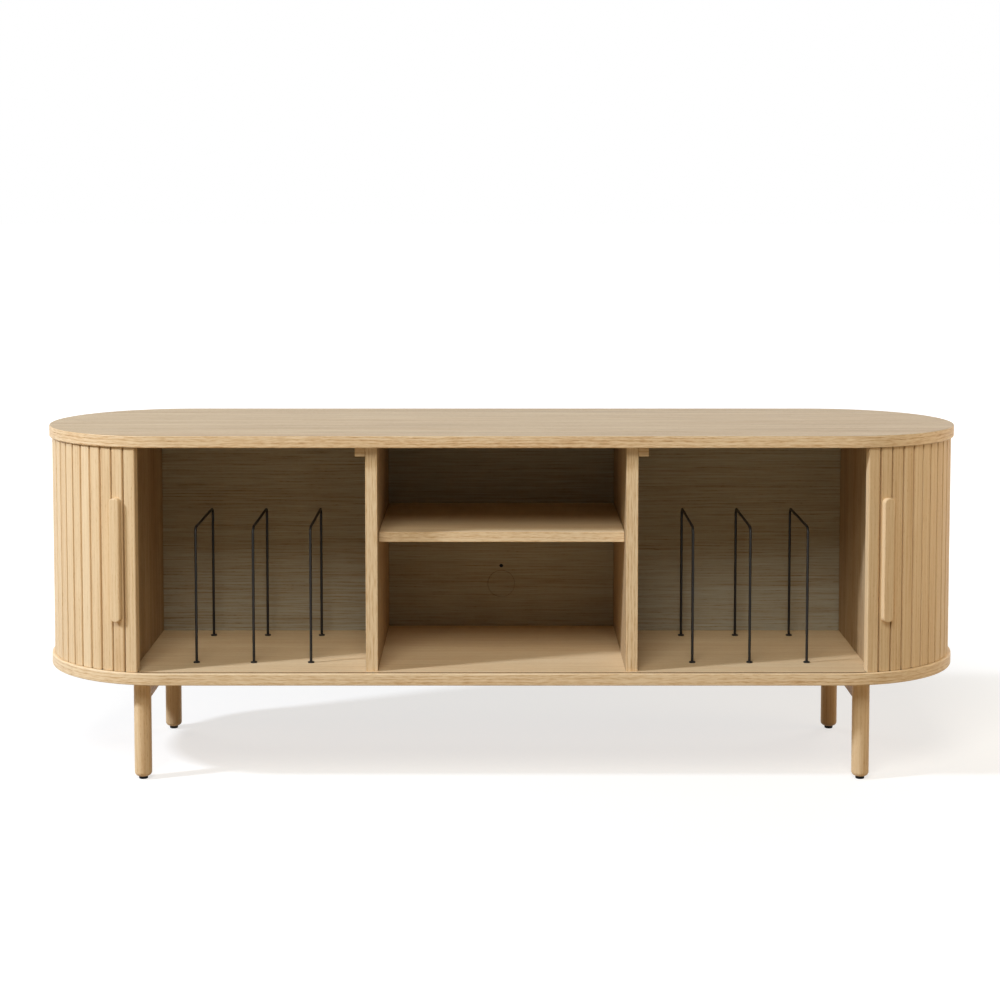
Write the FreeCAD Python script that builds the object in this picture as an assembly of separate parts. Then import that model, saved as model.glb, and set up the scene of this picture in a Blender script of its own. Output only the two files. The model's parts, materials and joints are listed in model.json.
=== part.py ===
"""Record cabinet: a pill-shaped oak console with two sliding slat curtains, on two leg frames.

Frame: +X to the right, +Y to the rear, +Z up, millimetres. The origin lies on the floor under
the middle of the cabinet. Every curtain is drawn open, pushed round its end of the cabinet.
The right-hand pieces are modelled, and the left-hand ones are their mirror images.
"""
import FreeCAD, Part
import math
import os
from FreeCAD import Vector

# Driving dimensions, in millimetres unless the name says degrees.

overall_length = 1564.0
overall_depth = 436.0            # also the width across each round end
top_thickness = 20.0
base_thickness = 20.0
panel_edge_round = 2.0
inner_height = 374.0             # from the base panel to the top panel
underside_height = 170.0         # from the floor to the base panel

upright_thickness = 20.0
upright_setback = 19.0           # from the front edge of the panels to the uprights
centre_bay_width = 410.0
centre_bay_depth = 361.0         # from the front of the uprights to the centre back
partition_end_inset = 171.0      # from the cabinet's end to the partition's bay side
side_bay_depth = 321.0           # from the front of the uprights to the side back
partition_thickness = 18.0
partition_setback = 50.0
back_thickness = 10.0

shelf_thickness = 17.0
shelf_setback = 36.0             # behind the front of the uprights
shelf_top_height = 227.0         # above the base panel
shelf_end_gap = 0.5
shelf_pin_diameter = 5.0
shelf_pin_in_upright = 10.0
shelf_pin_under_shelf = 8.0
shelf_pin_inset = 40.0           # from the shelf's front and back edges

fixing_block_width = 17.0
fixing_block_height = 16.0
fixing_block_depth = 50.0

cable_hole_diameter = 50.0
cable_hole_height = 78.0         # hole centre above the base panel
cable_plug_gap = 0.3
strap_hole_diameter = 7.0
strap_hole_height = 111.0

front_slats = 16                 # slats that lie in the straight front when the curtain is shut
tail_slats = 12                  # slats that lie along the straight rear when it is open
handle_pair_end = 3              # slats 2 to 3, the rigid pair that carries the handle
single_slats_end = 12            # the next slats, up to this one, move one by one
pair_size = 2                    # slats in each rigid group between those and the arc
tail_groups = 3
slat_thickness = 10.5
lead_slat_thickness = 14.0
slat_gap = 1.8                   # between two neighbours, at their backs
slat_front_chamfer = 1.6
slat_back_chamfer = 2.0
slat_end_gap = 0.4               # below the top panel and above the base panel
slat_inset = 4.5                 # from the panels' edge to the slats' outer faces
open_angle_degrees = 10.1        # from the end of the straight front to the open leading edge
closing_gap = 0.6                # from the shut leading edge to the upright's outer face

groove_width = 5.0
groove_depth = 6.0
groove_inset = 8.5               # from the panels' edge to the middle of the groove
track_stop_length = 14.0
track_stop_clearance = 0.2

handle_height = 206.0
handle_width = 18.5
handle_thickness = 9.5
handle_corner_radius = 8.0
handle_edge_round = 2.0
handle_shift = 1.0               # from the middle of its slat, away from the leading slat

leg_diameter = 29.0
leg_foot_round = 7.0
leg_end_inset = 180.5            # leg centre from the cabinet's end
leg_front_inset = 54.0           # leg centre from the front and the rear edge
rail_width = 28.0
rail_height = 32.0
rail_end_clearance = 0.1
glide_diameter = 15.0
glide_height = 5.0
glide_stem_diameter = 6.0
glide_stem_length = 12.0
glide_edge_round = 1.2

leg_bolt_diameter = 8.0
leg_bolt_in_leg = 30.0
leg_bolt_in_base = 14.0
rail_screw_diameter = 4.5
rail_screw_head_diameter = 9.0
rail_screw_head_height = 3.0
rail_screw_counterbore = 8.0
rail_screw_in_base = 12.0
rail_screw_spacing = 160.0
dowel_diameter = 8.0
dowel_in_panel = 12.0            # into the top or the base panel
dowel_in_board = 18.0            # into the upright or the partition
dowel_inset = 60.0               # from the board's front and rear edges
fastener_clearance = 0.1         # on the radius of every hole for a fastener
round_share = 0.45               # most of a thickness that one rounded edge may take

dividers_per_bay = 3
divider_wire_diameter = 4.5
divider_height = 232.0           # top of the wire above the base panel
divider_depth = 214.0            # from one leg of the wire to the other
divider_setback = 83.0           # front leg from the front edge of the panels
divider_bend_radius = 12.0
divider_in_base = 8.0
divider_foot_diameter = 11.0
divider_foot_height = 2.0

# Levels and places that follow from them.

base_bottom = underside_height
base_top = base_bottom + base_thickness
top_bottom = base_top + inner_height
front_edge = -overall_depth / 2
arc_centre_x = overall_length / 2 - overall_depth / 2
upright_front = front_edge + upright_setback
upright_inner = centre_bay_width / 2
upright_outer = upright_inner + upright_thickness
partition_inner = overall_length / 2 - partition_end_inset
centre_back_front = upright_front + centre_bay_depth
side_back_front = upright_front + side_bay_depth
leg_x = overall_length / 2 - leg_end_inset
leg_y = overall_depth / 2 - leg_front_inset

# The curtain's backs follow a track: the straight front, the round end, the straight rear.
track_radius = overall_depth / 2 - slat_inset - slat_thickness
slat_pitch = (arc_centre_x - upright_outer - closing_gap) / front_slats
slat_bend = 2 * math.asin(slat_pitch / (2 * track_radius))
slat_width = slat_pitch - slat_gap
open_angle = math.radians(open_angle_degrees)
arc_slats_end = int((math.pi - open_angle) / slat_bend)     # last slat on the open curtain's arc
slat_height = inner_height - 2 * slat_end_gap

OUT = Vector(0, 0, 1)
near = 1e-3                      # how close an edge must lie to a plane to count as in it
written = []


def write(name, shape):
    """Export one node, after testing that its solids are sound."""
    if not shape.isValid() or not shape.Solids:
        raise ValueError(name + " is not a sound solid")
    shape.exportStep(os.path.join("parts", name + ".step"))
    written.append(name)


def mirrored(shape):
    return shape.mirror(Vector(0, 0, 0), Vector(1, 0, 0))


def write_sides(name, right_shape):
    """Export a right-hand piece and its mirror image."""
    write("right_" + name, right_shape)
    write("left_" + name, mirrored(right_shape))


def box(x, y, z):
    """A box between three pairs of limits."""
    size = [pair[1] - pair[0] for pair in (x, y, z)]
    return Part.makeBox(size[0], size[1], size[2], Vector(x[0], y[0], z[0]))


def cylinder(radius, start, length, direction=OUT):
    return Part.makeCylinder(radius, length, start, direction)


def stadium(radius, low, high):
    """A pill-shaped prism: two half circles of this radius about the arc centres."""
    left, right = -arc_centre_x, arc_centre_x
    edges = [
        Part.LineSegment(Vector(left, -radius, low), Vector(right, -radius, low)).toShape(),
        Part.Arc(Vector(right, -radius, low), Vector(right + radius, 0, low),
                 Vector(right, radius, low)).toShape(),
        Part.LineSegment(Vector(right, radius, low), Vector(left, radius, low)).toShape(),
        Part.Arc(Vector(left, radius, low), Vector(left - radius, 0, low),
                 Vector(left, -radius, low)).toShape(),
    ]
    return Part.Face(Part.Wire(edges)).extrude(Vector(0, 0, high - low))


def groove(low, high):
    """The ring that a curtain groove takes out of a panel."""
    middle = overall_depth / 2 - groove_inset
    half = groove_width / 2
    return stadium(middle + half, low, high).cut(stadium(middle - half, low, high))


def board_dowel_rows():
    """Middle of each upright and partition, with the two dowel places along it."""
    rows = []
    boards = [
        (upright_inner + upright_thickness / 2, upright_front, centre_back_front + back_thickness),
        (partition_inner + partition_thickness / 2, front_edge + partition_setback,
         side_back_front + back_thickness),
    ]
    for x, front, rear in boards:
        for side in (-1, 1):
            for y in (front + dowel_inset, rear - dowel_inset):
                rows.append((side * x, y))
    return rows


def dowel_solids(extra=0.0):
    """Wooden dowels that join the boards to both panels; extra widens them to holes."""
    radius = dowel_diameter / 2 + extra
    length = dowel_in_panel + dowel_in_board
    solids = []
    for x, y in board_dowel_rows():
        solids.append(cylinder(radius, Vector(x, y, base_top - dowel_in_panel), length))
        solids.append(cylinder(radius, Vector(x, y, top_bottom - dowel_in_board), length))
    return solids


def leg_places():
    """Leg centres as name, x and y."""
    places = []
    for end, y in (("front", -leg_y), ("rear", leg_y)):
        for side, x in (("left", -leg_x), ("right", leg_x)):
            places.append((end + "_" + side + "_leg", x, y))
    return places


def leg_bolt_solids(extra=0.0):
    """Bolts that hold the legs to the base panel."""
    radius = leg_bolt_diameter / 2 + extra
    length = leg_bolt_in_leg + leg_bolt_in_base
    return [cylinder(radius, Vector(x, y, base_bottom - leg_bolt_in_leg), length)
            for _, x, y in leg_places()]


def rail_screw_solids(extra=0.0):
    """Screws through each rail into the base panel, with their heads up in counterbores."""
    solids = []
    head_low = base_bottom - rail_height + rail_screw_counterbore - rail_screw_head_height
    for side in (-1, 1):
        for y in (-rail_screw_spacing / 2, rail_screw_spacing / 2):
            start = Vector(side * leg_x, y, head_low)
            length = base_bottom + rail_screw_in_base - head_low
            shank = cylinder(rail_screw_diameter / 2 + extra, start, length)
            head = cylinder(rail_screw_head_diameter / 2 + extra, start, rail_screw_head_height)
            solids.append(shank.fuse(head).removeSplitter())
    return solids


def rounded_panel(low, high):
    """A top or base panel's blank, with softened edges."""
    blank = stadium(overall_depth / 2, low, high)
    rims = [edge for edge in blank.Edges if edge.BoundBox.ZLength < near]
    return blank.makeFillet(min(panel_edge_round, round_share * (high - low)), rims)


def top_panel():
    panel = rounded_panel(top_bottom, top_bottom + top_thickness)
    panel = panel.cut(groove(top_bottom, top_bottom + groove_depth))
    return panel.cut(dowel_solids(fastener_clearance))


def bottom_panel():
    panel = rounded_panel(base_bottom, base_top)
    panel = panel.cut(groove(base_top - groove_depth, base_top))
    tools = dowel_solids(fastener_clearance) + leg_bolt_solids(fastener_clearance)
    tools += rail_screw_solids(fastener_clearance) + divider_holes()
    return panel.cut(tools)


def inner_upright():
    """The board between the centre bay and the right-hand bay."""
    board = box((upright_inner, upright_outer),
                (upright_front, centre_back_front + back_thickness), (base_top, top_bottom))
    return board.cut(dowel_solids(fastener_clearance) + shelf_pin_solids(fastener_clearance))


def end_partition():
    """The board that closes the right-hand bay off from the round end."""
    board = box((partition_inner, partition_inner + partition_thickness),
                (front_edge + partition_setback, side_back_front + back_thickness),
                (base_top, top_bottom))
    return board.cut(dowel_solids(fastener_clearance))


def side_back_panel():
    return box((upright_outer, partition_inner),
               (side_back_front, side_back_front + back_thickness), (base_top, top_bottom))


def centre_back_panel():
    """The back of the centre bay, with a cable hole and a small strap hole above it."""
    panel = box((-upright_inner, upright_inner),
                (centre_back_front, centre_back_front + back_thickness), (base_top, top_bottom))
    rearward = Vector(0, 1, 0)
    for diameter, height in ((cable_hole_diameter, cable_hole_height),
                             (strap_hole_diameter, strap_hole_height)):
        start = Vector(0, centre_back_front, base_top + height)
        panel = panel.cut(cylinder(diameter / 2, start, back_thickness, rearward))
    return panel


def cable_hole_plug():
    """The veneered disc that fills the cable hole until it is pressed out."""
    start = Vector(0, centre_back_front, base_top + cable_hole_height)
    radius = cable_hole_diameter / 2 - cable_plug_gap
    return cylinder(radius, start, back_thickness, Vector(0, 1, 0))


def shelf_levels():
    """Underside of the shelf, and its front and rear limits."""
    low = base_top + shelf_top_height - shelf_thickness
    return low, upright_front + shelf_setback, centre_back_front - shelf_end_gap


def centre_shelf():
    low, front, rear = shelf_levels()
    half = upright_inner - shelf_end_gap
    return box((-half, half), (front, rear), (low, low + shelf_thickness))


def shelf_pin_solids(extra=0.0):
    """Four steel pins in the uprights, under the shelf."""
    low, front, rear = shelf_levels()
    radius = shelf_pin_diameter / 2
    length = shelf_pin_in_upright + shelf_pin_under_shelf
    solids = []
    for side in (-1, 1):
        for y in (front + shelf_pin_inset, rear - shelf_pin_inset):
            start = Vector(side * (upright_inner + shelf_pin_in_upright), y, low - radius)
            solids.append(cylinder(radius + extra, start, length, Vector(-side, 0, 0)))
    return solids


def fixing_block():
    """The oak block in the corner between the right-hand upright and the top panel."""
    return box((upright_outer, upright_outer + fixing_block_width),
               (upright_front, upright_front + fixing_block_depth),
               (top_bottom - fixing_block_height, top_bottom))


def track_stops():
    """Plugs in both grooves, where the shut curtains' leading edges stop."""
    half = groove_width / 2 - track_stop_clearance
    middle = front_edge + groove_inset
    height = groove_depth - track_stop_clearance
    stops = []
    for low in (base_top - groove_depth, top_bottom + groove_depth - height):
        stop = box((upright_outer - track_stop_length, upright_outer),
                   (middle - half, middle + half), (low, low + height))
        stops += [stop, mirrored(stop)]
    return Part.makeCompound(stops)


def divider_places():
    """x of each wire divider in the right-hand bay, which they split evenly."""
    share = (partition_inner - upright_outer) / (dividers_per_bay + 1)
    return [upright_outer + share * (k + 1) for k in range(dividers_per_bay)]


def divider_feet():
    """y of the front and the rear leg of every wire divider."""
    front = front_edge + divider_setback
    return front, front + divider_depth


def divider_holes():
    """Holes in the base panel for the ends of the wires, in both side bays."""
    radius = divider_wire_diameter / 2 + fastener_clearance
    low = base_top - divider_in_base - fastener_clearance
    return [cylinder(radius, Vector(side * x, y, low), divider_in_base + fastener_clearance)
            for x in divider_places() for y in divider_feet() for side in (-1, 1)]


def wire_divider(x):
    """One steel wire bent into an upside-down U across the bay's depth, with two small feet."""
    front, rear = divider_feet()
    low = base_top - divider_in_base
    high = base_top + divider_height - divider_wire_diameter / 2
    bend = divider_bend_radius
    diagonal = bend * (1 - math.sqrt(0.5))
    edges = [
        Part.LineSegment(Vector(x, front, low), Vector(x, front, high - bend)).toShape(),
        Part.Arc(Vector(x, front, high - bend), Vector(x, front + diagonal, high - diagonal),
                 Vector(x, front + bend, high)).toShape(),
        Part.LineSegment(Vector(x, front + bend, high), Vector(x, rear - bend, high)).toShape(),
        Part.Arc(Vector(x, rear - bend, high), Vector(x, rear - diagonal, high - diagonal),
                 Vector(x, rear, high - bend)).toShape(),
        Part.LineSegment(Vector(x, rear, high - bend), Vector(x, rear, low)).toShape(),
    ]
    section = Part.Wire(Part.Circle(Vector(x, front, low), OUT,
                                    divider_wire_diameter / 2).toShape())
    wire = Part.Wire(edges).makePipeShell([section], True, False)
    feet = [cylinder(divider_foot_diameter / 2, Vector(x, y, base_top), divider_foot_height)
            for y in (front, rear)]
    return wire.fuse(feet).removeSplitter()


def record_dividers():
    return Part.makeCompound([wire_divider(x) for x in divider_places()])


def leg(x, y):
    """A turned leg with a rounded lower end, bored for its bolt and its glide."""
    height = underside_height - glide_height
    blank = cylinder(leg_diameter / 2, Vector(x, y, glide_height), height)
    rim = [edge for edge in blank.Edges
           if edge.BoundBox.ZMax < glide_height + near]
    blank = blank.makeFillet(min(leg_foot_round, round_share * leg_diameter), rim)
    stem = cylinder(glide_stem_diameter / 2 + fastener_clearance, Vector(x, y, glide_height),
                    glide_stem_length)
    return blank.cut(leg_bolt_solids(fastener_clearance) + [stem])


def foot_glide(x, y):
    """A black pad under a leg, with a stem up into it."""
    pad = cylinder(glide_diameter / 2, Vector(x, y, 0), glide_height)
    rim = [edge for edge in pad.Edges if edge.BoundBox.ZMax < near]
    pad = pad.makeFillet(min(glide_edge_round, round_share * glide_height), rim)
    stem = cylinder(glide_stem_diameter / 2, Vector(x, y, glide_height), glide_stem_length)
    return pad.fuse(stem).removeSplitter()


def leg_rail():
    """The rail between the front and the rear right-hand leg, shaped to their round sides."""
    half = rail_width / 2
    rail = box((leg_x - half, leg_x + half), (-leg_y, leg_y),
               (base_bottom - rail_height, base_bottom))
    radius = leg_diameter / 2 + rail_end_clearance
    low = Vector(leg_x, 0, base_bottom - rail_height)
    ends = [cylinder(radius, low + Vector(0, y, 0), rail_height) for y in (-leg_y, leg_y)]
    rail = rail.cut(ends)
    rail = Part.makeSolid(max(rail.Solids, key=lambda solid: solid.Volume).Shells[0])
    counterbores = [cylinder(rail_screw_head_diameter / 2 + fastener_clearance,
                             low + Vector(0, y, 0), rail_screw_counterbore)
                    for y in (-rail_screw_spacing / 2, rail_screw_spacing / 2)]
    return rail.cut(counterbores + rail_screw_solids(fastener_clearance))


def next_knuckle(x, y):
    """The point one slat pitch further along the right-hand track, from a point on it."""
    angle = math.atan2(x - arc_centre_x, -y)
    if x <= arc_centre_x and y > 0:
        return x - slat_pitch, track_radius
    if angle + slat_bend <= math.pi:
        angle += slat_bend
        return (arc_centre_x + track_radius * math.sin(angle), -track_radius * math.cos(angle))
    return x - math.sqrt(slat_pitch ** 2 - (track_radius - y) ** 2), track_radius


def open_knuckles():
    """The lines between neighbouring slats' backs with the curtain open, leading edge first."""
    x = arc_centre_x + track_radius * math.sin(open_angle)
    points = [(x, -track_radius * math.cos(open_angle))]
    for _ in range(arc_slats_end + tail_slats):
        points.append(next_knuckle(*points[-1]))
    return points


def slat_groups():
    """First and last slat of each rigid group as (name, first, last, bends), leading slat first.

    bends is how far a group's neighbours are turned to each other. The slats that stay on the
    round end have its full bend. Pairs that move from the round end to the straight front have
    half of it, and the tail's groups, which lie straight with the curtain open, have none.
    """
    groups = [("slat_01", 1, 1, 0.0)]
    groups.append(("slats_02_%02d" % handle_pair_end, 2, handle_pair_end, slat_bend / 2))
    for k in range(handle_pair_end + 1, single_slats_end + 1):
        groups.append(("slat_%02d" % k, k, k, 0.0))
    for first in range(single_slats_end + 1, front_slats + 1, pair_size):
        last = min(first + pair_size - 1, front_slats)
        groups.append(("slats_%02d_%02d" % (first, last), first, last, slat_bend / 2))
    groups.append(("arc_slats", front_slats + 1, arc_slats_end, slat_bend))
    for k in range(tail_groups):
        first = arc_slats_end + 1 + tail_slats * k // tail_groups
        last = arc_slats_end + tail_slats * (k + 1) // tail_groups
        groups.append(("tail_slats_%d" % (k + 1), first, last, 0.0))
    return groups


def group_knuckles(start, end, count, bend):
    """Knuckles of a rigid group of equal slats, centred on the chord from start to end."""
    chord = math.atan2(end[1] - start[1], end[0] - start[0])
    headings = [chord + bend * (k - (count - 1) / 2) for k in range(count)]
    points = [(0.0, 0.0)]
    for heading in headings:
        x, y = points[-1]
        points.append((x + slat_pitch * math.cos(heading), y + slat_pitch * math.sin(heading)))
    middle = ((start[0] + end[0]) / 2, (start[1] + end[1]) / 2)
    shift = (middle[0] - points[-1][0] / 2, middle[1] - points[-1][1] / 2)
    return [(x + shift[0], y + shift[1]) for x, y in points]


def slat_frame(start, end):
    """Placement of a slat: its x along the track, its y up and its z outward."""
    along = Vector(end[0] - start[0], end[1] - start[1], 0).normalize()
    outward = along.cross(OUT)
    middle = Vector((start[0] + end[0]) / 2, (start[1] + end[1]) / 2, base_top)
    return FreeCAD.Placement(FreeCAD.Matrix(
        along.x, OUT.x, outward.x, middle.x,
        along.y, OUT.y, outward.y, middle.y,
        along.z, OUT.z, outward.z, middle.z,
        0, 0, 0, 1))


def slat(start, end, back=0.0):
    """One slat between two knuckles; back is how far it reaches behind the others."""
    half = slat_width / 2
    face = slat_thickness
    outline = [
        (-half + slat_back_chamfer, -back), (half - slat_back_chamfer, -back),
        (half, -back + slat_back_chamfer), (half, face - slat_front_chamfer),
        (half - slat_front_chamfer, face), (-half + slat_front_chamfer, face),
        (-half, face - slat_front_chamfer), (-half, -back + slat_back_chamfer),
    ]
    corners = [Vector(x, slat_end_gap, z) for x, z in outline]
    solid = Part.Face(Part.makePolygon(corners + corners[:1])).extrude(Vector(0, slat_height, 0))
    return solid.transformed(slat_frame(start, end).toMatrix())


def group_points(knuckles, group):
    """Knuckles of one of the rigid groups, with the curtain open."""
    _, first, last, bend = group
    return group_knuckles(knuckles[first - 1], knuckles[last], last - first + 1, bend)


def slat_group(points, first):
    """A group's slats as separate solids; the leading slat is thicker than the others."""
    back = lead_slat_thickness - slat_thickness if first == 1 else 0.0
    slats = [slat(points[k], points[k + 1], back) for k in range(len(points) - 1)]
    return slats[0] if len(slats) == 1 else Part.makeCompound(slats)


def handle(start, end):
    """The pull: a narrow board with round corners, on the slat between these two knuckles."""
    half_width, half_height = handle_width / 2, handle_height / 2
    middle = inner_height / 2
    blank = Part.makeBox(handle_width, handle_height, handle_thickness,
                         Vector(handle_shift - half_width, middle - half_height, slat_thickness))
    uprights = [edge for edge in blank.Edges if edge.BoundBox.ZLength > handle_thickness / 2]
    blank = blank.makeFillet(handle_corner_radius, uprights)
    outer = slat_thickness + handle_thickness
    rims = [edge for edge in blank.Edges if edge.BoundBox.ZMin > outer - near]
    blank = blank.makeFillet(handle_edge_round, rims)
    return blank.transformed(slat_frame(start, end).toMatrix())


def write_carcass():
    write("top_panel", top_panel())
    write("bottom_panel", bottom_panel())
    write_sides("inner_upright", inner_upright())
    write_sides("end_partition", end_partition())
    write_sides("back_panel", side_back_panel())
    write("centre_back_panel", centre_back_panel())
    write("cable_hole_plug", cable_hole_plug())
    write("centre_shelf", centre_shelf())
    write("shelf_pins", Part.makeCompound(shelf_pin_solids()))
    block = fixing_block()
    write("fixing_blocks", Part.makeCompound([block, mirrored(block)]))
    write("track_stops", track_stops())
    write("panel_dowels", Part.makeCompound(dowel_solids()))
    write_sides("record_dividers", record_dividers())


def write_leg_frames():
    for name, x, y in leg_places():
        write(name, leg(x, y))
    rail = leg_rail()
    write("leg_rails", Part.makeCompound([rail, mirrored(rail)]))
    write("foot_glides", Part.makeCompound([foot_glide(x, y) for _, x, y in leg_places()]))
    write("leg_screws", Part.makeCompound(leg_bolt_solids() + rail_screw_solids()))


def write_curtains():
    knuckles = open_knuckles()
    groups = slat_groups()
    for group in groups:
        name, first = group[:2]
        write_sides(name, slat_group(group_points(knuckles, group), first))
    handle_points = group_points(knuckles, groups[1])
    write_sides("handle", handle(handle_points[0], handle_points[1]))


os.makedirs("parts", exist_ok=True)
write_carcass()
write_leg_frames()
write_curtains()
print(len(written), "nodes")
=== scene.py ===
"""Record cabinet: a pill-shaped oak console with a curtain of slats at each end, on two leg frames.

Metres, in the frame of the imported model: +X to the right, +Y to the rear, +Z up, and the origin on
the floor under the middle. Each section makes one kind of piece, in the order of assembly.
"""
import itertools
import json
import math
import bmesh
import bpy
import numpy as np
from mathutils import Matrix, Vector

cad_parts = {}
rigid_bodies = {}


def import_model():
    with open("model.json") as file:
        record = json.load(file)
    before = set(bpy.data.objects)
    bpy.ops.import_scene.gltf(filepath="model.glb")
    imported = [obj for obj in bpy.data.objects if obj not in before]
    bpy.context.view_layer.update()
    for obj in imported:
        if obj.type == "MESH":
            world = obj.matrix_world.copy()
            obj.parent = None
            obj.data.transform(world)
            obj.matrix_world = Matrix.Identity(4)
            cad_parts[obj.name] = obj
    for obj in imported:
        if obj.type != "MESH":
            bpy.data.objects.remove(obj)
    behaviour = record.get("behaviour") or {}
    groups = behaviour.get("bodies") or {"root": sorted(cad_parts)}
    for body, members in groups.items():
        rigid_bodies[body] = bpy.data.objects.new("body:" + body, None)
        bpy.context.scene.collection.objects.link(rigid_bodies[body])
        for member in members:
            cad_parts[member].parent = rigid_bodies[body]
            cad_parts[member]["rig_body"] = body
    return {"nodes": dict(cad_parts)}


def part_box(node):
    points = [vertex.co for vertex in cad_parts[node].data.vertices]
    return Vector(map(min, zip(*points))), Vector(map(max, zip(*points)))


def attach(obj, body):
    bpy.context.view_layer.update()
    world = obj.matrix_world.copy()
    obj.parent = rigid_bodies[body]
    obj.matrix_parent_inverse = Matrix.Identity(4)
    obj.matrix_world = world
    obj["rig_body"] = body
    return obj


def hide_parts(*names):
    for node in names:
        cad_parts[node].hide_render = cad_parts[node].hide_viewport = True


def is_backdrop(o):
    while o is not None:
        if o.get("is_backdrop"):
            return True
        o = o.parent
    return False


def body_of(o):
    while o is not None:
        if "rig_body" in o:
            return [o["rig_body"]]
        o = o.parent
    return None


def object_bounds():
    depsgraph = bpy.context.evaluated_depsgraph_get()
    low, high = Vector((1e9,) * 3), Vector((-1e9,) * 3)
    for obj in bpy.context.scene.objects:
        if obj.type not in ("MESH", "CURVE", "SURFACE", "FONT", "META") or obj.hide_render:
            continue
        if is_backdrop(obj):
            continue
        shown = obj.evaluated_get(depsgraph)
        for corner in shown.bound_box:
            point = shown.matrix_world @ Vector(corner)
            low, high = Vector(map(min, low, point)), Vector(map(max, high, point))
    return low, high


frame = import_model()
cad_low, cad_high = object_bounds()

# ------------------------------------------------------------------------------------ camera
# A long lens in front of the cabinet, level with a seated eye, which looks slightly down. Its
# small shift sets the cabinet a little below the middle of the frame.

image_pixels, focal_pixels, sensor_width = 1000, 2065.6, 36.0
camera_place, camera_pitch = (-0.0089, -3.573, 0.9805), math.radians(4.075)
camera_data = bpy.data.cameras.new("camera")
camera_data.sensor_width = sensor_width
camera_data.lens = sensor_width * focal_pixels / image_pixels
camera_data.shift_x, camera_data.shift_y = 0.0036, -0.16
camera = bpy.data.objects.new("camera", camera_data)
camera.location = camera_place
camera.rotation_euler = (math.pi / 2 - camera_pitch, 0, 0)
bpy.context.scene.collection.objects.link(camera)
bpy.context.scene.camera = camera
bpy.context.scene.view_settings.view_transform = "Standard"

# ------------------------------------------------------------------------------------ studio
# A pale floor and backdrop, and soft lamps: the key from the upper left, one from the front, a
# near one at the right, and two behind. Its materials are written as expressions.


class Value:
    """A number from a shader socket. Arithmetic on it adds Math nodes."""

    def __init__(self, shader, socket):
        self.shader, self.socket = shader, socket

    def math(self, operation, *others):
        values = dict(enumerate((self, *others)))
        return self.shader.node("ShaderNodeMath", {"operation": operation}, values)

    def __add__(self, other):
        return self.math("ADD", other)

    def __sub__(self, other):
        return self.math("SUBTRACT", other)

    def __mul__(self, other):
        return self.math("MULTIPLY", other)

    def __rsub__(self, other):
        return self.math("MULTIPLY", -1.0) + other

    def __truediv__(self, other):
        return self.math("DIVIDE", other)

    __radd__, __rmul__ = __add__, __mul__


class Shader:
    """A node tree that is written as expressions."""

    def __init__(self, owner):
        owner.use_nodes = True
        self.tree = owner.node_tree
        self.tree.nodes.clear()

    def node(self, kind, settings=None, values=None, output=0):
        """Add a node: first its settings, then the values or links of its sockets."""
        made = self.tree.nodes.new(kind)
        for key, setting in (settings or {}).items():
            if key == "stops":
                ramp = made.color_ramp.elements
                for place, colour in setting[1:-1]:
                    ramp.new(place).color = (*colour, 1)
                for element, (place, colour) in ((ramp[0], setting[0]), (ramp[-1], setting[-1])):
                    element.position, element.color = place, (*colour, 1)
            else:
                setattr(made, key, setting)
        for key, value in (values or {}).items():
            if isinstance(value, Value):
                self.tree.links.new(value.socket, made.inputs[key])
            else:
                made.inputs[key].default_value = value
        return Value(self, made.outputs[output]) if len(made.outputs) else made

    def vector(self, x, y, z=0.0):
        return self.node("ShaderNodeCombineXYZ", None, {0: x, 1: y, 2: z})

    def blend(self, factor, first, second):
        """A colour between two colours."""
        return self.node("ShaderNodeMix", {"data_type": "RGBA"},
                         {0: factor, 6: first, 7: second}, 2)

    def clear_step(self, value, low, high):
        """0 below low, 1 above high, and a smooth rise between them."""
        settings = {"interpolation_type": "SMOOTHSTEP"}
        return self.node("ShaderNodeMapRange", settings, {0: value, 1: low, 2: high})

    def principled(self, **values):
        """The surface of a piece. Keys are the shader's socket names with _ for a space."""
        values = {key.replace("_", " "): value for key, value in values.items()}
        surface = self.node("ShaderNodeBsdfPrincipled", None, values)
        self.node("ShaderNodeOutputMaterial", None, {"Surface": surface})


def unlit_ray(shader):
    """1 for the rays that see a white backdrop: those from the camera, gloss and glass."""
    rays = [shader.node("ShaderNodeLightPath", None, None, kind)
            for kind in ("Is Camera Ray", "Is Glossy Ray", "Is Transmission Ray")]
    return rays[0].math("MAXIMUM", rays[1]).math("MAXIMUM", rays[2])


floor_half, shadow_glow, glow_near, glow_far = 60.0, 0.64, 0.9, 2.2
floor_data = bpy.data.meshes.new("floor")
floor_data.from_pydata([(-floor_half, -floor_half, 0), (floor_half, -floor_half, 0),
                        (floor_half, floor_half, 0), (-floor_half, floor_half, 0)], [],
                       [(0, 1, 2, 3)])
floor = bpy.data.objects.new("floor", floor_data)
bpy.context.scene.collection.objects.link(floor)
floor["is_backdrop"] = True
floor_paint = bpy.data.materials.new("floor_paint")
floor_shader = Shader(floor_paint)
matt = floor_shader.node("ShaderNodeBsdfDiffuse", None, {"Color": (0.45, 0.445, 0.43, 1)})
warm = floor_shader.node("ShaderNodeBsdfDiffuse", None, {"Color": (0.46, 0.35, 0.22, 1)})
away = floor_shader.node("ShaderNodeTexCoord", None, None, "Object")
away = floor_shader.node("ShaderNodeVectorMath", {"operation": "LENGTH"}, {0: away}, 1)
glow = floor_shader.clear_step(away, glow_near, glow_far) * (1 - shadow_glow) + shadow_glow
glow = floor_shader.node("ShaderNodeEmission", None, {"Color": (1, 1, 1, 1), "Strength": glow})
lifted = floor_shader.node("ShaderNodeAddShader", None, {0: matt, 1: glow})
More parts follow.
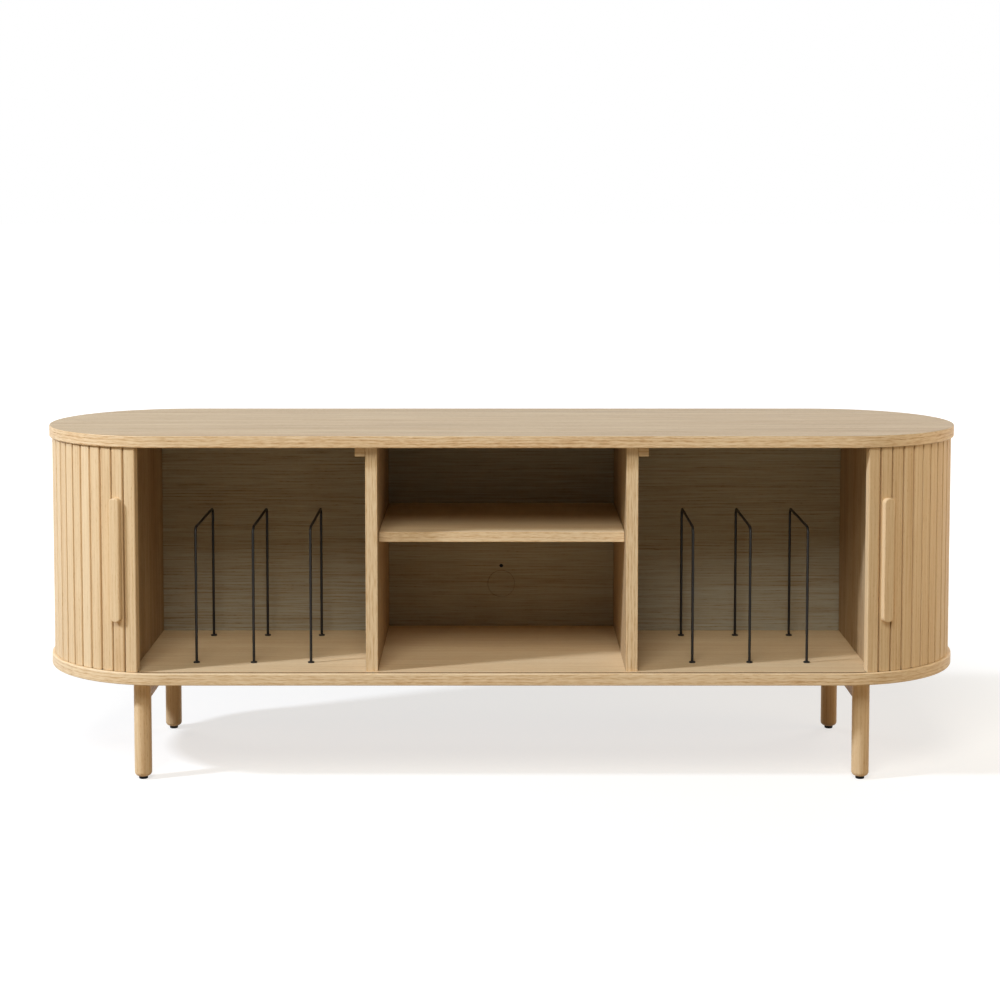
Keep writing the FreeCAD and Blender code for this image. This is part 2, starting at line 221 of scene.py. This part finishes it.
floor_shader.node("ShaderNodeOutputMaterial", None, {
    "Surface": floor_shader.node("ShaderNodeMixShader", None,
                                 {0: unlit_ray(floor_shader), 1: warm, 2: lifted})})
floor_data.materials.append(floor_paint)

world = bpy.data.worlds.new("studio")
bpy.context.scene.world = world
air = Shader(world)
dim = air.node("ShaderNodeBackground", None, {"Color": (1, 0.80, 0.58, 1), "Strength": 0.06})
white = air.node("ShaderNodeBackground", None, {"Color": (1, 1, 1, 1), "Strength": 1.0})
air.node("ShaderNodeOutputWorld", None, {
    "Surface": air.node("ShaderNodeMixShader", None, {0: unlit_ray(air), 1: dim, 2: white})})


def area_light(name, side, rise, distance, size, strength, colour, sheen=True):
    """A square light that faces the cabinet's middle.

    side is its turn to the left of the front and rise its height, in degrees. strength is the share
    of a surface's own colour that it gives to a surface that faces it. Without sheen it adds no
    gloss, so that the top stays below white from low views that look towards the lamp.
    """
    data = bpy.data.lights.new(name, "AREA")
    data.size = size
    data.color = colour
    data.energy = strength * (math.pi * distance) ** 2
    light = bpy.data.objects.new(name, data)
    turn, lift = math.radians(side), math.radians(rise)
    light.location = (-distance * math.sin(turn) * math.cos(lift),
                      -distance * math.cos(turn) * math.cos(lift),
                      distance * math.sin(lift) + cad_high.z / 2)
    light.rotation_euler = (math.pi / 2 - lift, 0, -turn)
    light.visible_camera = False
    light.visible_glossy = sheen
    bpy.context.scene.collection.objects.link(light)


area_light("key_light", 69, 34, 6.0, 0.45, 0.66, (0.97, 1.06, 1.22))
area_light("front_light", 8, 45, 6.0, 2.5, 0.48, (1.0, 0.975, 0.90))
area_light("right_light", -85, 15, 1.7, 1.0, 0.160, (1.0, 0.79, 0.54))
area_light("rear_left_light", 140, 20, 6.0, 3.0, 0.20, (1.0, 1.0, 1.0), False)
area_light("rear_right_light", -140, 20, 6.0, 3.0, 0.20, (1.0, 1.0, 1.0), False)

# ------------------------------------------------------------------------------------ base panel
# A 20 mm board with oak veneer on its faces and an oak band round its edge, sanded to a small
# round. The groove for both curtains is routed into its upper face, and its faces carry painted
# shade.

panel_edge, end_steps, ease_steps = 0.0020, 64, 3
groove_width, groove_depth, groove_inset = 0.0050, 0.0060, 0.0085
support = 0.0004                 # from a rounded edge to the row that keeps the face beside it flat
merge, crease = 1e-6, math.radians(40)
boards = itertools.count(1)      # every board has its own number, and so its own grain
grain_margin = 0.2               # keeps the wander of the grain inside the board's number


def eased(half_width, low, high, ease_low, ease_high, steps=4):
    """Profile of a board between two heights, as rows of inset and height.

    It runs from the middle of the lower face, round the rim, to the middle of the upper face, and
    both edges are quarter circles.
    """
    turn = np.linspace(0, np.pi / 2, steps + 1)
    lower = np.stack([ease_low * (1 - np.sin(turn)), low + ease_low * (1 - np.cos(turn))], 1)
    upper = np.stack([ease_high * (1 - np.cos(turn)), high - ease_high * (1 - np.sin(turn))], 1)
    return np.concatenate([
        [(half_width, low), (ease_low + support, low)], lower, [(0, low + ease_low + support)],
        [(0, high - ease_high - support)], upper,
        [(ease_high + support, high), (half_width, high)]])


def outline_grid(half_length, half_width, corner, profile, steps):
    """Points of a profile carried round a rounded rectangle, as [profile row, outline step].

    At an inset d the outline is a rectangle of half_length - d by half_width - d with quarter
    circles of radius corner - d, or sharp corners once d passes that radius. corner may be four
    radii, anticlockwise from the corner at +x +y. A stadium is the case corner = half_width, and
    a circle the case where all three are equal. Each side has a point close to both of its ends.
    """
    inset, height = np.array(profile, float).T[:, :, None]
    quarter = np.repeat(np.arange(4), steps + 3)
    local = np.concatenate([[0], np.linspace(0, np.pi / 2, steps + 1), [np.pi / 2]])
    angle = np.tile(local, 4) + quarter * np.pi / 2
    side_x, side_y = np.array([1, -1, -1, 1])[quarter], np.array([1, 1, -1, -1])[quarter]
    radius = np.maximum(np.broadcast_to(corner, 4)[quarter] - inset, 0)
    room_x, room_y = half_length - inset - radius, half_width - inset - radius
    place = np.tile(np.arange(steps + 3), 4)
    first, last = place == 0, place == steps + 2
    odd = quarter % 2 == 1
    room = np.where(first ^ odd, room_y, room_x)
    slide = np.minimum(support, room / 2) * (last.astype(float) - first)
    x = side_x * room_x + radius * np.cos(angle) - slide * np.sin(angle)
    y = side_y * room_y + radius * np.sin(angle) + slide * np.cos(angle)
    return np.stack([x, y, height + 0 * x], axis=2)


def grain_map(points, upright):
    """u along the fibres and v across them, in metres, at the four corners of every face.

    Faces of the rim take the distance round the outline and the height, and flat faces take their
    own two directions. Fibres run along the height if upright, and otherwise along the outline
    and the flat faces' x. The whole part of v is the board's number.
    """
    rows, steps = points.shape[:2]
    ring = points[np.argmax(np.abs(points[:, :, 0]).max(axis=1))]
    run = np.append(0, np.linalg.norm(np.roll(ring, -1, axis=0) - ring, axis=1).cumsum())
    row, step = np.meshgrid(np.arange(rows - 1), np.arange(steps), indexing="ij")
    row4 = np.stack([row, row, row + 1, row + 1], axis=2)
    step4 = np.stack([step, step + 1, step + 1, step], axis=2)
    corner = points[row4, step4 % steps]
    around, height = run[step4], corner[..., 2]
    rise = np.ptp(height, axis=2)
    reach = np.linalg.norm(corner[:, :, 3, :2] - corner[:, :, 0, :2], axis=2)
    flat = (reach > rise)[..., None]
    along, across = (height, around) if upright else (around, height)
    u = np.where(flat, corner[..., 0], along)
    v = np.where(flat, corner[..., 1], across)
    return np.stack([u, v - v.min() + grain_margin + next(boards)], axis=-1)


def blank(points, upright=False, axes=np.eye(3), origin=(0, 0, 0)):
    """One closed body: its points set in the model's frame, and its grain."""
    return points @ np.array(axes, float) + np.array(origin, float), grain_map(points, upright)


def cornered(half_size, ease, centre, upright=False):
    """A board of three half sizes about a centre, with every edge eased."""
    profile = eased(min(half_size[:2]), -half_size[2], half_size[2], ease, ease, ease_steps)
    return blank(outline_grid(half_size[0], half_size[1], ease, profile, ease_steps), upright,
                 origin=centre)


def piece(name, blanks, material, slot, *nodes, beside=None):
    """An object made of closed bodies, which stands for these nodes and rides where they do.

    One that stands for no node rides with the node that it is beside.
    """
    points, faces, maps, count = [], [], [], 0
    for grid, grain in blanks:
        rows, steps = grid.shape[:2]
        row, step = np.meshgrid(np.arange(rows - 1), np.arange(steps), indexing="ij")
        here, there = row * steps + step + count, row * steps + (step + 1) % steps + count
        faces.append(np.stack([here, there, there + steps, here + steps], 2).reshape(-1, 4))
        points.append(grid.reshape(-1, 3))
        maps.append(grain.reshape(-1, 2))
        count += rows * steps
    mesh = bpy.data.meshes.new(name)
    mesh.from_pydata(np.concatenate(points).tolist(), [], np.concatenate(faces).tolist())
    mesh.uv_layers.new(name="grain").data.foreach_set("uv", np.concatenate(maps).ravel())
    solid = bmesh.new()
    solid.from_mesh(mesh)
    bmesh.ops.remove_doubles(solid, verts=solid.verts, dist=merge)
    bmesh.ops.dissolve_degenerate(solid, edges=solid.edges, dist=merge)
    bmesh.ops.recalc_face_normals(solid, faces=solid.faces)
    solid.to_mesh(mesh)
    solid.free()
    mesh.shade_smooth()
    mesh.set_sharp_from_angle(angle=crease)
    mesh.materials.append(material)
    made = bpy.data.objects.new(name, mesh)
    bpy.context.scene.collection.objects.link(made)
    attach(made, body_of(frame["nodes"][beside or nodes[0]])[0])
    if nodes:
        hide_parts(*nodes)
    return made


def mapped_grain(wood):
    """u, v and the board's number, from the piece's own grain map."""
    place = {"Vector": wood.node("ShaderNodeUVMap", {"uv_map": "grain"})}
    v = wood.node("ShaderNodeSeparateXYZ", None, place, 1)
    return wood.node("ShaderNodeSeparateXYZ", None, place, 0), v.math("FRACT"), v.math("FLOOR")


oak_colours = [(0.0, (0.255, 0.140, 0.060)), (0.30, (0.480, 0.295, 0.135)),
               (0.55, (0.650, 0.455, 0.250)), (0.80, (0.760, 0.580, 0.350)),
               (1.0, (0.830, 0.665, 0.435))]
ring_pitch, knot_length, knot_width = 0.0062, 0.24, 0.024


def oak(name, grain=mapped_grain, tone=0.0, spread=0.12, figure=1.0, fleck=(0.022, 0.0019, 0.5),
        knots=0.0, gloss=0.4, matt=0.48, tint=(1.0, 1.0, 1.0)):
    """Pale oak under matt lacquer.

    One number, light, sums broad bands, streaks, short flecks, fine fibres, the darker late wood
    of the growth rings, the open pores and a few pin knots, and a ramp turns it into colour. tone
    lifts it, spread is how far boards differ, figure is how strongly the growth rings show, fleck
    is the length, width and strength of the short streaks, and knots is how dark the knots are.
    gloss is the specular level, matt the mean roughness, and tint multiplies the colour.
    """
    material = bpy.data.materials.new(name)
    wood = Shader(material)
    u, v, board = grain(wood)

    def patches(length, width, detail, shift=0.0):
        """Noise whose patches are this long along the fibres and this wide across them."""
        place = wood.vector(u / length, v / width, board * 2.7 + shift)
        return wood.node("ShaderNodeTexNoise", None,
                         {"Vector": place, "Scale": 1.0, "Detail": detail, "Roughness": 0.55})

    chance = wood.node("ShaderNodeTexWhiteNoise", {"noise_dimensions": "1D"}, {"W": board})
    bands = patches(0.9, 0.045, 2.0)
    v = v + (patches(0.060, 0.010, 1.0, 3.0) - 0.5) * 0.0030
    streaks = patches(0.35, 0.0065, 3.0, 5.0)
    flecks = patches(fleck[0], fleck[1], 2.0, 7.0)
    fibres = patches(0.055, 0.0009, 3.0, 9.0)
    bent = v + (bands - 0.5) * 0.020 + (streaks - 0.5) * 0.0030
    ring = (bent * (2 * math.pi / ring_pitch)).math("SINE") * 0.5 + 0.5
    ring = wood.clear_step(ring, 0.45, 1.0) * patches(0.25, 0.02, 1.0, 13.0)
    pores = wood.clear_step(patches(0.0085, 0.00055, 1.0, 17.0), 0.58, 0.70) * (ring + 0.3)
    light = (0.72 + tone + (bands - 0.5) * 0.35 + (streaks - 0.5) * 0.45
             + (flecks - 0.5) * fleck[2] + (fibres - 0.5) * 0.30 - ring * (0.22 * figure)
             - pores * 0.35 + (chance - 0.5) * spread)
    if knots:
        spots = wood.vector(u / knot_length, v / knot_width, board * 3.1)
        spots = {"Vector": spots, "Scale": 1.0, "Randomness": 1.0}
        near = wood.node("ShaderNodeTexVoronoi", None, spots)
        rare = wood.node("ShaderNodeTexVoronoi", None, spots, "Color")
        rare = wood.node("ShaderNodeSeparateXYZ", None, {"Vector": rare})
        knot = (1 - wood.clear_step(near, 0.0, 0.10)) * wood.clear_step(rare, 0.80, 0.81)
        light = light - knot * knots
    colour = wood.node("ShaderNodeValToRGB", {"stops": oak_colours}, {0: light})
    redder = wood.node("ShaderNodeHueSaturation", None,
                       {"Hue": 0.493, "Saturation": 1.10, "Value": 0.975, "Color": colour})
    colour = wood.blend(patches(0.6, 0.03, 1.0, 21.0), colour, redder)
    colour = wood.node("ShaderNodeMix", {"data_type": "RGBA", "blend_type": "MULTIPLY"},
                       {0: 1.0, 6: colour, 7: (*tint, 1)}, 2)
    normal = wood.node("ShaderNodeBump", None, {
        "Strength": 0.35, "Distance": 0.00025, "Height": fibres * 0.5 - pores})
    wood.principled(Base_Color=colour, Roughness=matt + (fibres - 0.5) * 0.12 + pores * 0.2,
                    Specular_IOR_Level=gloss, Normal=normal)
    return material


def banded(made, band, across=2, limit=0.7):
    """Give a board's edges their band: the faces that don't face along the axis across the board.

    They are those whose normal has less than limit along that axis.
    """
    made.data.materials.append(band)
    normals = np.empty(3 * len(made.data.polygons), np.float32)
    made.data.polygons.foreach_get("normal", normals)
    rim = np.abs(normals.reshape(-1, 3)[:, across]) < limit
    made.data.polygons.foreach_set("material_index", rim.astype(np.int32))


def panel(node, groove_below):
    """A pill-shaped panel with its curtain groove, in its underside if groove_below."""
    low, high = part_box(node)
    thickness = high.z - low.z
    near, far = groove_inset - groove_width / 2, groove_inset + groove_width / 2
    groove = [(near, thickness), (near, thickness - groove_depth),
              (far, thickness - groove_depth), (far, thickness)]
    plain = eased(high.y, 0, thickness, panel_edge, panel_edge)
    profile = np.concatenate([plain[:-1], groove, plain[-1:]])
    if groove_below:
        profile = np.stack([profile[:, 0], thickness - profile[:, 1]], 1)[::-1]
    profile[:, 1] += low.z
    return blank(outline_grid(high.x, high.y, high.y, profile, end_steps))


def grooved(made, dark):
    """Give a banded panel's groove painted shade: its faces as far inside the outline as it is."""
    made.data.materials.append(dark)
    centres = np.empty(3 * len(made.data.polygons), np.float32)
    made.data.polygons.foreach_get("center", centres)
    x, y, _ = np.abs(centres.reshape(-1, 3)).T
    inset = cad_high.y - np.hypot(np.maximum(x - cad_high.x + cad_high.y, 0), y)
    index = np.empty(len(made.data.polygons), np.int32)
    made.data.polygons.foreach_get("material_index", index)
    index[np.abs(inset - groove_inset) < groove_width / 2 + support] = 2
    made.data.polygons.foreach_set("material_index", index)


base_veneer = oak("base_veneer", tone=0.16, spread=0.05, fleck=(0.05, 0.0022, 0.4))
edge_band = oak("edge_band", tone=0.22, spread=0.05, figure=1.7, fleck=(0.017, 0.0016, 1.3))
base_board = piece("base_board", [panel("bottom_panel", False)], base_veneer, "oak_veneer",
                   "bottom_panel")
banded(base_board, edge_band)
# The groove's faces are painted dark: painted shade in the groove, not a stain.
groove_oak = oak("groove_oak", tone=-0.65, spread=0.0, gloss=0.1, matt=0.7)
grooved(base_board, groove_oak)

# ------------------------------------------------------------------------------------ leg frames
# Four turned oak legs with rounded lower ends, bolted up into the base, and an oak rail from the
# front to the rear leg at each end. Every leg stands on a black glide.

legs = ("front_left_leg", "front_right_leg", "rear_left_leg", "rear_right_leg")
leg_bottom, leg_steps = 0.0050, 16
foot_round, foot_round_steps = 0.0070, 8


def lathe(leg, radius, profile, steps):
    """A round body about a leg's axis: its profile carried round a circle."""
    low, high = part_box(leg)
    return blank(outline_grid(radius, radius, radius, profile, steps), True,
                 origin=((low.x + high.x) / 2, (low.y + high.y) / 2, 0))


solid_oak = oak("leg_oak", tone=0.04, spread=0.06, figure=0.6, fleck=(0.05, 0.0022, 0.3),
                gloss=0.25)
for node in legs:
    low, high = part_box(node)
    radius = (high.x - low.x) / 2
    profile = eased(radius, low.z, high.z, foot_round, 0.0, foot_round_steps)
    piece(node + "_turned", [lathe(node, radius, profile, leg_steps)], solid_oak, "oak_legs",
          node)

side_share = 0.61


def plain_grain(*order):
    """Object coordinates as u and v, in the order that puts u along a CAD piece's fibres.

    v also takes a share of the third axis, so that the faces across it have a grain too.
    """
    def grain(wood):
        place = {"Vector": wood.node("ShaderNodeTexCoord", None, None, "Object")}
        u, v = (wood.node("ShaderNodeSeparateXYZ", None, place, axis) for axis in order[:2])
        side = wood.node("ShaderNodeSeparateXYZ", None, place, order[2])
        return u, v + side * side_share, v * 0
    return grain


def finish_node(material, node):
    """Give a CAD node a finish, on its own shape."""
    for place in frame["nodes"][node].material_slots:
        place.material = material


# The rails' oak is darker than the legs': painted shade, where they sit behind the legs under the
# base.
rail_oak = oak("rail_oak", plain_grain(1, 2, 0), tone=-0.3, spread=0.0, gloss=0.2)
finish_node(rail_oak, "leg_rails")


def coated(name, colour, rough, grain, metal=0.0, gloss=0.5):
    """A plastic, a lacquer or a metal: fine speckle in its colour, its gloss and its surface."""
    material = bpy.data.materials.new(name)
    coat = Shader(material)
    place = coat.node("ShaderNodeTexCoord", None, None, "Object")
    fine = coat.node("ShaderNodeTexNoise", None, {"Vector": place, "Scale": grain, "Detail": 3.0})
    broad = coat.node("ShaderNodeTexNoise", None, {"Vector": place, "Scale": grain / 25})
    pale = tuple(min(1.0, part * 1.7 + 0.004) for part in colour)
    shade = coat.clear_step(fine * 0.6 + broad * 0.4, 0.30, 0.75)
    normal = coat.node("ShaderNodeBump", None,
                       {"Strength": 0.3, "Distance": 0.0002, "Height": fine})
    coat.principled(Base_Color=coat.blend(shade, (*colour, 1), (*pale, 1)),
                    Roughness=rough + (fine - 0.5) * 0.25, Metallic=metal,
                    Specular_IOR_Level=gloss, Normal=normal)
    return material


glide_round, glide_radius, glide_steps = 0.0012, 0.0075, 12
black_plastic = coated("black_plastic", (0.006, 0.005, 0.005), 0.60, 900, gloss=0.15)
profile = eased(glide_radius, 0, leg_bottom, glide_round, 0.0)
glides = [lathe(node, glide_radius, profile, glide_steps) for node in legs]
piece("glides", glides, black_plastic, "black_plastic", "foot_glides")
zinc = coated("zinc_steel", (0.45, 0.45, 0.44), 0.32, 700, 1.0)
finish_node(zinc, "leg_screws")

# ------------------------------------------------------------------------------------ carcass
# Veneered uprights, end partitions and backs stand between the two panels on beech dowels, and the
# edges of the uprights and partitions carry a band with upright grain. A plug closes the cable
# hole, and small oak blocks back up the inner joints.

board_ease = 0.0007


def board(node, upright):
    """A board that fills its node's box, with every edge eased."""
    low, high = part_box(node)
    return cornered((high - low) / 2, board_ease, (high + low) / 2, upright)


# The uprights' and partitions' veneer is darker and cooler than the other oak: painted shade, as in
# the shaded bays.
upright_veneer = oak("upright_veneer", tone=-0.32, spread=0.06, fleck=(0.05, 0.0020, 0.5),
                     gloss=0.15, matt=0.6, tint=(0.85, 0.95, 1.10))
upright_band = oak("upright_band", tone=0.20, spread=0.06, figure=1.7, fleck=(0.024, 0.0016, 1.3),
                   gloss=0.25)
# The backs' grey-blue tint darkens them as they look in the shaded bays: painted shade.
back_painted_shade_tint = (0.58, 0.74, 1.00)
back_veneer = oak("back_veneer", spread=0.08, fleck=(0.07, 0.0017, 0.9), gloss=0.1, matt=0.6,
                  tint=back_painted_shade_tint)
for side in ("left", "right"):
    for part in ("inner_upright", "end_partition"):
        node = side + "_" + part
        made = piece(node + "_board", [board(node, True)], upright_veneer, "oak_veneer", node)
        banded(made, upright_band, across=0)
    node = side + "_back_panel"
    piece(node + "_board", [board(node, False)], back_veneer, "oak_veneer", node)
# The centre back and the cable plug carry the same painted shade tint.
plain_back_painted_shade = oak("centre_back_veneer", plain_grain(0, 2, 1), spread=0.0,
                 fleck=(0.07, 0.0017, 0.9), gloss=0.1, matt=0.6, tint=back_painted_shade_tint)
finish_node(plain_back_painted_shade, "centre_back_panel")
beech = oak("beech_dowel", plain_grain(2, 0, 1), tone=0.1, spread=0.0, figure=0.2)
finish_node(beech, "panel_dowels")
finish_node(black_plastic, "track_stops")
plug_steps = 24


def disc(middle, radius, rear, front, ease):
    """A round plug about an axis along y: its profile carried round a circle.

    Its face looks forward, and its front edge is eased.
    """
    profile = eased(radius, 0, rear - front, 0.0, ease)
    grid = outline_grid(radius, radius, radius, profile, plug_steps)
    return blank(grid, False, ((1, 0, 0), (0, 0, 1), (0, -1, 0)), (middle.x, rear, middle.z))


low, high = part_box("cable_hole_plug")
plug_spare, plug_ease = 0.0004, 0.0016
middle, radius = (low + high) / 2, (high.x - low.x) / 2 + plug_spare
cable_plug = piece("cable_plug", [disc(middle, radius, high.y, low.y, plug_ease)], plain_back_painted_shade,
                   "oak_veneer", "cable_hole_plug")
# The plug's eased rim is dark: painted shade of the narrow gap round the plug.
plug_rim = oak("plug_rim", plain_grain(0, 2, 1), tone=-0.5, spread=0.0, tint=back_painted_shade_tint)
banded(cable_plug, plug_rim, across=1, limit=0.95)
strap_rise, strap_radius, strap_sink = 0.033, 0.0036, 0.0040
middle.z += strap_rise
bush = disc(middle, strap_radius, high.y, low.y + strap_sink, 0.0)
piece("strap_bush", [bush], black_plastic, "black_plastic", beside="centre_back_panel")

low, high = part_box("fixing_blocks")
block_width, block_ease = 0.017, 0.0012
block_half = (block_width / 2, (high.y - low.y) / 2, (high.z - low.z) / 2)
middle = (high + low) / 2
blocks = [cornered(block_half, block_ease, (x, middle.y, middle.z))
          for x in (low.x + block_width / 2, high.x - block_width / 2)]
# The blocks' oak is paler than the rest: painted light, which lifts them out of the shade under the
# top.
block_oak = oak("block_oak", tone=0.20, figure=2.2, gloss=0.2)
piece("joint_blocks", blocks, block_oak, "oak_veneer", "fixing_blocks")

# ------------------------------------------------------------------------------------ shelf
# A veneered shelf with banded edges. It is laid on four zinc pins in the uprights, and lifts out
# by hand.

shelf_board = piece("shelf_board", [board("centre_shelf", False)], base_veneer, "oak_veneer",
                    "centre_shelf")
banded(shelf_board, edge_band)
finish_node(zinc, "shelf_pins")

# ------------------------------------------------------------------------------------ dividers
# Three hoops of black coated steel wire in each record bay. Their ends go down into holes in the
# base, through small round feet.

wire_radius, wire_bend, wire_in_base = 0.00225, 0.0120, 0.0080
bend_points, wire_sides = 9, 14
foot_radius, foot_height, foot_ease, foot_steps = 0.0055, 0.0020, 0.0007, 8


def hoop(x, front, rear, low, high):
    """A round wire along an upside-down U with quarter circle bends, in a plane of x.

    At each point of this path stands a circle of wire_radius, square to the path.
    """
    turn = np.linspace(0, np.pi / 2, bend_points)
    top = high - wire_radius
    rise = np.stack([front + wire_bend * (1 - np.cos(turn)),
                     top - wire_bend * (1 - np.sin(turn))], 1)
    fall = np.stack([rear - wire_bend * (1 - np.sin(turn)),
                     top - wire_bend * (1 - np.cos(turn))], 1)
    path = np.concatenate([[(front, low)], rise, fall, [(rear, low)]])
    step = np.diff(path, axis=0)
    step /= np.linalg.norm(step, axis=1)[:, None]
    tangent = np.concatenate([step[:1], step[:-1] + step[1:], step[-1:]])
    tangent /= np.linalg.norm(tangent, axis=1)[:, None]
    around = np.linspace(0, 2 * np.pi, wire_sides, endpoint=False)
    side, out = wire_radius * np.cos(around), wire_radius * np.sin(around)
    ring_y = path[:, :1] - tangent[:, 1:] * out
    ring_z = path[:, 1:] + tangent[:, :1] * out
    rings = np.stack([x + side + 0 * ring_y, ring_y, ring_z], 2)
    ends = rings[[0, -1]].mean(axis=1, keepdims=True) + 0 * rings[[0, -1]]
    rings = np.concatenate([ends[:1], rings, ends[1:]])
    return rings, grain_map(rings, True)


coated_wire = coated("black_wire", (0.010, 0.009, 0.008), 0.45, 1400, gloss=0.25)
for side, sign in (("left", -1), ("right", 1)):
    node = side + "_record_dividers"
    low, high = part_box(node)
    feet_y = (low.y + foot_radius, high.y - foot_radius)
    base_top = low.z + wire_in_base
    for index, x in enumerate(np.linspace(low.x + foot_radius, high.x - foot_radius, 3)):
        parts = [hoop(x, *feet_y, low.z, high.z)]
        for y in feet_y:
            profile = eased(foot_radius, base_top, base_top + foot_height, 0.0, foot_ease)
            foot = outline_grid(foot_radius, foot_radius, foot_radius, profile, foot_steps)
            parts.append(blank(foot, True, origin=(x, y, 0)))
        piece("%s_divider_%d" % (side, index + 1), parts, coated_wire, "black_wire", node)

# ------------------------------------------------------------------------------------ curtains
# Forty solid oak slats on each side, which run in the grooves of both panels and turn a little
# against each other on the round end. The leading slat is thicker, and a narrow oak pull sits on
# the second.

slat_thick, lead_thick, slat_gap, slat_inset = 0.0105, 0.0140, 0.0018, 0.0045
slat_front, slat_back, slat_tip = 0.0018, 0.0014, 0.0006
slat_side_steps, slat_tip_steps, pull_steps = 4, 3, 8
pull_wide, pull_thick, pull_shift = 0.0185, 0.0095, 0.0010
pull_corner, pull_round = 0.0080, 0.0020
open_angle = math.radians(10.1)
arc_x = cad_high.x - cad_high.y
track_radius = cad_high.y - slat_inset - slat_thick
front_slats, tail_slats, tail_group = 16, 12, 4
shut_gap = 0.0006
slat_pitch = (arc_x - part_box("right_inner_upright")[1].x - shut_gap) / front_slats
slat_bend = 2 * math.asin(slat_pitch / (2 * track_radius))
slat_wide = slat_pitch - slat_gap
slat_low, slat_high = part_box("right_slat_01")[0].z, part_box("right_slat_01")[1].z
arc_end = int((math.pi - open_angle) / slat_bend)

angle = open_angle + slat_bend * np.arange(arc_end + 1)
knuckles = np.stack([arc_x + track_radius * np.sin(angle), -track_radius * np.cos(angle)], 1)
reach = math.sqrt(slat_pitch ** 2 - (track_radius - knuckles[-1, 1]) ** 2)
tail_x = knuckles[-1, 0] - reach - slat_pitch * np.arange(tail_slats)
knuckles = np.concatenate([knuckles, np.stack([tail_x, 0 * tail_x + track_radius], 1)])


def group_knuckles(first, last, bend):
    """Both ends of every slat from first to last, as [slat, end, x or y].

    The slats are equal chords, each turned by bend from the one before, and the row of them is
    centred on the line between its two outer knuckles and lies along it.
    """
    start, end = knuckles[first - 1], knuckles[last]
    count = last - first + 1
    chord = math.atan2(*(end - start)[::-1])
    heading = chord + bend * (np.arange(count) - (count - 1) / 2)
    steps = slat_pitch * np.stack([np.cos(heading), np.sin(heading)], 1)
    points = np.concatenate([[(0, 0)], steps.cumsum(axis=0)])
    points += (start + end) / 2 - points[-1] / 2
    return np.stack([points[:-1], points[1:]], 1)


def slat_frame(ends, sign):
    """Axes and origin of a slat: x along the track, y inward and z up."""
    ends = ends * (sign, 1)
    start, end = ends if sign > 0 else ends[::-1]
    along = (end - start) / np.linalg.norm(end - start)
    axes = [(along[0], along[1], 0), (-along[1], along[0], 0), (0, 0, 1)]
    return np.array(axes), np.array([*(start + end) / 2, 0])


def slat(ends, sign, thick):
    """A slat with rounded long edges, whose back lies thick - slat_thick behind the track."""
    corner = (slat_back, slat_back, slat_front, slat_front)
    profile = eased(thick / 2, slat_low, slat_high, slat_tip, slat_tip, slat_tip_steps)
    grid = outline_grid(slat_wide / 2, thick / 2, corner, profile, slat_side_steps)
    axes, origin = slat_frame(ends, sign)
    return blank(grid, True, axes, origin + axes[1] * (thick / 2 - slat_thick))


def pull(ends, sign, node):
    """The flat pull: a board with round corners and a rounded outer edge."""
    low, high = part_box(node)
    profile = eased(pull_wide / 2, 0, pull_thick, 0.0, pull_round)
    grid = outline_grid((high.z - low.z) / 2, pull_wide / 2, pull_corner, profile, pull_steps)
    axes, origin = slat_frame(ends, sign)
    along, inward, up = axes
    middle = origin - inward * slat_thick + along * pull_shift * sign + up * (high.z + low.z) / 2
    return blank(grid, False, (up, -along, -inward), middle)


# Each group is rigid: its name, first slat, last slat, and the turn from one slat to the next.
groups = [("slat_01", 1, 1, 0), ("slats_02_03", 2, 3, slat_bend / 2)]
groups += [("slat_%02d" % k, k, k, 0) for k in range(4, 13)]
groups += [("slats_13_14", 13, 14, slat_bend / 2), ("slats_15_16", 15, 16, slat_bend / 2),
           ("arc_slats", 17, arc_end, slat_bend)]
groups += [("tail_slats_%d" % (k + 1), arc_end + 1 + tail_group * k,
            arc_end + tail_group * (k + 1), 0) for k in range(tail_slats // tail_group)]
slat_oak = oak("slat_oak", tone=0.12, spread=0.20, figure=0.7, fleck=(0.06, 0.0022, 0.35),
               knots=0.5, gloss=0.2)
pull_oak = oak("pull_oak", tone=0.13, spread=0.05, figure=0.5, fleck=(0.05, 0.0022, 0.3),
               gloss=0.2)
for side, sign in (("left", -1), ("right", 1)):
    for name, first, last, bend in groups:
        row = group_knuckles(first, last, bend)
        thick = lead_thick if first == 1 else slat_thick
        piece("%s_curtain_%s" % (side, name), [slat(ends, sign, thick) for ends in row],
              slat_oak, "oak_slats", side + "_" + name)
    pair = group_knuckles(2, 3, slat_bend / 2)
    piece(side + "_pull", [pull(pair[0], sign, side + "_handle")], pull_oak, "oak_handles",
          side + "_handle")

# ------------------------------------------------------------------------------------ top panel
# The same board as the base, turned over so that its groove, with its painted shade, is in the
# underside. Its veneer is glossier, and darker and grey-blue: painted shade against the light that
# falls on the top, and a painted grey sheen.

# Darker and grey-blue: painted shade against the light on the top, and a painted grey sheen.
top_veneer = oak("top_veneer", tone=-0.28, spread=0.05, fleck=(0.08, 0.0026, 0.45), gloss=0.5,
                 matt=0.42, tint=(0.90, 1.03, 1.15))
top_board = piece("top_board", [panel("top_panel", True)], top_veneer, "oak_veneer", "top_panel")
top_band = oak("top_band", tone=0.13, spread=0.05, figure=1.7, fleck=(0.017, 0.0016, 1.3))
banded(top_board, top_band)
grooved(top_board, groove_oak)

# ------------------------------------------------------------------------------------ size
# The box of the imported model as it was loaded, and the box of all that is seen now.

low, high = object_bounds()
